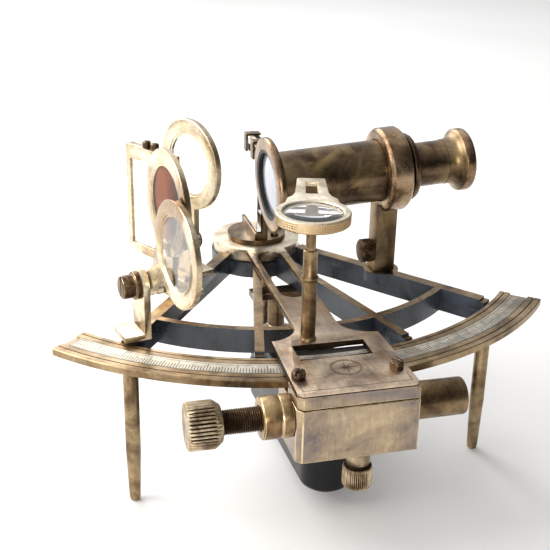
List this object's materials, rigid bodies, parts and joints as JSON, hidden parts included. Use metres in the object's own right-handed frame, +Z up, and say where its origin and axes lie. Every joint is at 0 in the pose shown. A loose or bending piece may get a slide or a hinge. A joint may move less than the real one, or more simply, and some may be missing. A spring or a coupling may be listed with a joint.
{
  "type": "sextant",
  "caption": "Brass nautical sextant on three legs: dark ribbed frame, graduated arc, swinging index arm with clamp and tangent screw, mirrors, shades, magnifier and telescope.",
  "frame": {"origin": "centre of the bounding box in plan, at the height of the tips of the three legs", "axes": "+X to the right along the chord of the arc, +Y from the arc towards the pivot, +Z up; the arc lies level and the arc side faces -Y"},
  "size_m": [0.203, 0.1727, 0.1477],
  "materials": {
    "frame": "satin",
    "limb": "satin",
    "scale_strip": "satin",
    "leg_left": "satin",
    "leg_right": "satin",
    "leg_rear": "satin",
    "handle_grip": "gloss",
    "handle_post_front": "satin",
    "handle_post_rear": "satin",
    "pivot_bush": "satin",
    "pivot_shaft": "satin",
    "pivot_nut": "satin",
    "index_arm": "satin",
    "vernier_plate": "satin",
    "clamp_box": "satin",
    "clamp_bridge": "satin",
    "end_screw_left": "satin",
    "end_screw_right": "satin",
    "tangent_boss": "satin",
    "spring_barrel": "satin",
    "spring_plunger": "satin",
    "clamp_shoe": "satin",
    "tangent_screw": "satin",
    "tangent_knob": "satin",
    "return_spring": "satin",
    "clamp_pad": "satin",
    "clamp_screw": "satin",
    "magnifier_post": "satin",
    "magnifier_rod": "satin",
    "magnifier_holder": "satin",
    "magnifier_lens": "gloss",
    "index_mirror_frame": "satin",
    "index_mirror": "gloss",
    "mirror_clip_front": "satin",
    "mirror_clip_back": "satin",
    "mirror_screw_front": "satin",
    "mirror_screw_back": "satin",
    "horizon_frame": "satin",
    "horizon_mirror": "gloss",
    "horizon_screw_far": "satin",
    "horizon_screw_near": "satin",
    "shade_bracket": "satin",
    "shade_screw": "satin",
    "horizon_shade_low": "satin",
    "horizon_shade_low_glass": "gloss",
    "horizon_shade_high": "satin",
    "horizon_shade_high_glass": "gloss",
    "index_shade_bracket": "satin",
    "index_shade_pin": "satin",
    "index_shade": "satin",
    "index_shade_glass": "gloss",
    "telescope_post": "satin",
    "telescope_tube": "satin",
    "objective_ring": "satin",
    "objective_lens": "gloss",
    "draw_tube": "satin",
    "eyecup": "satin",
    "eye_lens": "gloss",
    "post_screw": "satin"
  },
  "bodies": {
    "frame_body": {"frame": "frame", "limb": "limb", "scale_strip": "scale_strip", "leg_left": "leg_left", "leg_right": "leg_right", "leg_rear": "leg_rear", "handle_grip": "handle_grip", "handle_post_front": "handle_post_front", "handle_post_rear": "handle_post_rear", "pivot_bush": "pivot_bush", "horizon_frame": "horizon_frame", "horizon_mirror": "horizon_mirror", "horizon_screw_far": "horizon_screw_far", "horizon_screw_near": "horizon_screw_near", "shade_bracket": "shade_bracket", "shade_screw": "shade_screw", "index_shade_bracket": "index_shade_bracket", "index_shade_pin": "index_shade_pin", "telescope_post": "telescope_post", "telescope_tube": "telescope_tube", "objective_ring": "objective_ring", "objective_lens": "objective_lens"},
    "index_arm_body": {"index_arm": "index_arm", "pivot_shaft": "pivot_shaft", "pivot_nut": "pivot_nut", "vernier_plate": "vernier_plate", "clamp_box": "clamp_box", "clamp_bridge": "clamp_bridge", "end_screw_left": "end_screw_left", "end_screw_right": "end_screw_right", "tangent_boss": "tangent_boss", "spring_barrel": "spring_barrel", "return_spring": "return_spring", "magnifier_post": "magnifier_post", "index_mirror_frame": "index_mirror_frame", "index_mirror": "index_mirror", "mirror_clip_front": "mirror_clip_front", "mirror_clip_back": "mirror_clip_back", "mirror_screw_front": "mirror_screw_front", "mirror_screw_back": "mirror_screw_back"},
    "clamp_shoe_body": {"clamp_shoe": "clamp_shoe", "spring_plunger": "spring_plunger"},
    "tangent_screw_body": {"tangent_screw": "tangent_screw", "tangent_knob": "tangent_knob"},
    "clamp_pad_body": {"clamp_pad": "clamp_pad"},
    "clamp_screw_body": {"clamp_screw": "clamp_screw"},
    "magnifier_rod_body": {"magnifier_rod": "magnifier_rod"},
    "magnifier_holder_body": {"magnifier_holder": "magnifier_holder", "magnifier_lens": "magnifier_lens"},
    "horizon_shade_low_body": {"horizon_shade_low": "horizon_shade_low", "horizon_shade_low_glass": "horizon_shade_low_glass"},
    "horizon_shade_high_body": {"horizon_shade_high": "horizon_shade_high", "horizon_shade_high_glass": "horizon_shade_high_glass"},
    "index_shade_body": {"index_shade": "index_shade", "index_shade_glass": "index_shade_glass"},
    "eyepiece_body": {"draw_tube": "draw_tube", "eyecup": "eyecup", "eye_lens": "eye_lens"},
    "post_screw_body": {"post_screw": "post_screw"}
  },
  "joints": [
    {"name": "index_swing", "type": "hinge", "parent": "frame_body", "child": "index_arm_body", "pos_m": [0.00225, 0.0653, 0.0705], "axis": [0, 0, 1], "range_deg": [-10, 31]},
    {"name": "tangent_turn", "type": "hinge", "parent": "clamp_shoe_body", "child": "tangent_screw_body", "pos_m": [-0.00292, -0.07561, 0.061], "axis": [0.9993, -0.0366, 0], "range_deg": [-1080, 1080]},
    {"name": "shoe_travel", "type": "slide", "parent": "index_arm_body", "child": "clamp_shoe_body", "axis": [0.9993, -0.0366, 0], "range_m": [-0.0024, 0.0024]},
    {"name": "pad_travel", "type": "slide", "parent": "clamp_shoe_body", "child": "clamp_pad_body", "axis": [0, 0, 1], "range_m": [-0.0002, 0.0008]},
    {"name": "clamp_turn", "type": "hinge", "parent": "clamp_pad_body", "child": "clamp_screw_body", "pos_m": [0.00363, -0.07184, 0.0505], "axis": [0, 0, 1], "range_deg": [-90, 360]},
    {"name": "magnifier_slide", "type": "slide", "parent": "index_arm_body", "child": "magnifier_rod_body", "axis": [0, 0, 1], "range_m": [-0.006, 0.008]},
    {"name": "magnifier_swivel", "type": "hinge", "parent": "magnifier_rod_body", "child": "magnifier_holder_body", "pos_m": [-0.00827, -0.04419, 0.1275], "axis": [0, 0, 1], "range_deg": [-10, 80]},
    {"name": "horizon_shade_low_swing", "type": "hinge", "parent": "frame_body", "child": "horizon_shade_low_body", "pos_m": [-0.06675, -0.0187, 0.092], "axis": [0.9848, 0.1736, 0], "range_deg": [-97, 25]},
    {"name": "horizon_shade_high_swing", "type": "hinge", "parent": "frame_body", "child": "horizon_shade_high_body", "pos_m": [-0.06675, -0.0187, 0.092], "axis": [0.9848, 0.1736, 0], "range_deg": [-61, 57]},
    {"name": "index_shade_swing", "type": "hinge", "parent": "frame_body", "child": "index_shade_body", "pos_m": [-0.03835, 0.0317, 0.0875], "axis": [0.9135, 0.4067, 0], "range_deg": [-80, 35]},
    {"name": "eyepiece_focus", "type": "slide", "parent": "frame_body", "child": "eyepiece_body", "axis": [0.9981, 0, 0.061], "range_m": [-0.01, 0.01]},
    {"name": "post_screw_turn", "type": "hinge", "parent": "frame_body", "child": "post_screw_body", "pos_m": [0.04265, 0.0203, 0.0804], "axis": [1, 0, 0], "range_deg": [-360, 360]}
  ],
  "couplings": [
    {"joint": "tangent_turn", "follows": "shoe_travel", "rad_per_m": 7853.9},
    {"joint": "clamp_turn", "follows": "pad_travel", "rad_per_m": 7853.9}
  ]
}
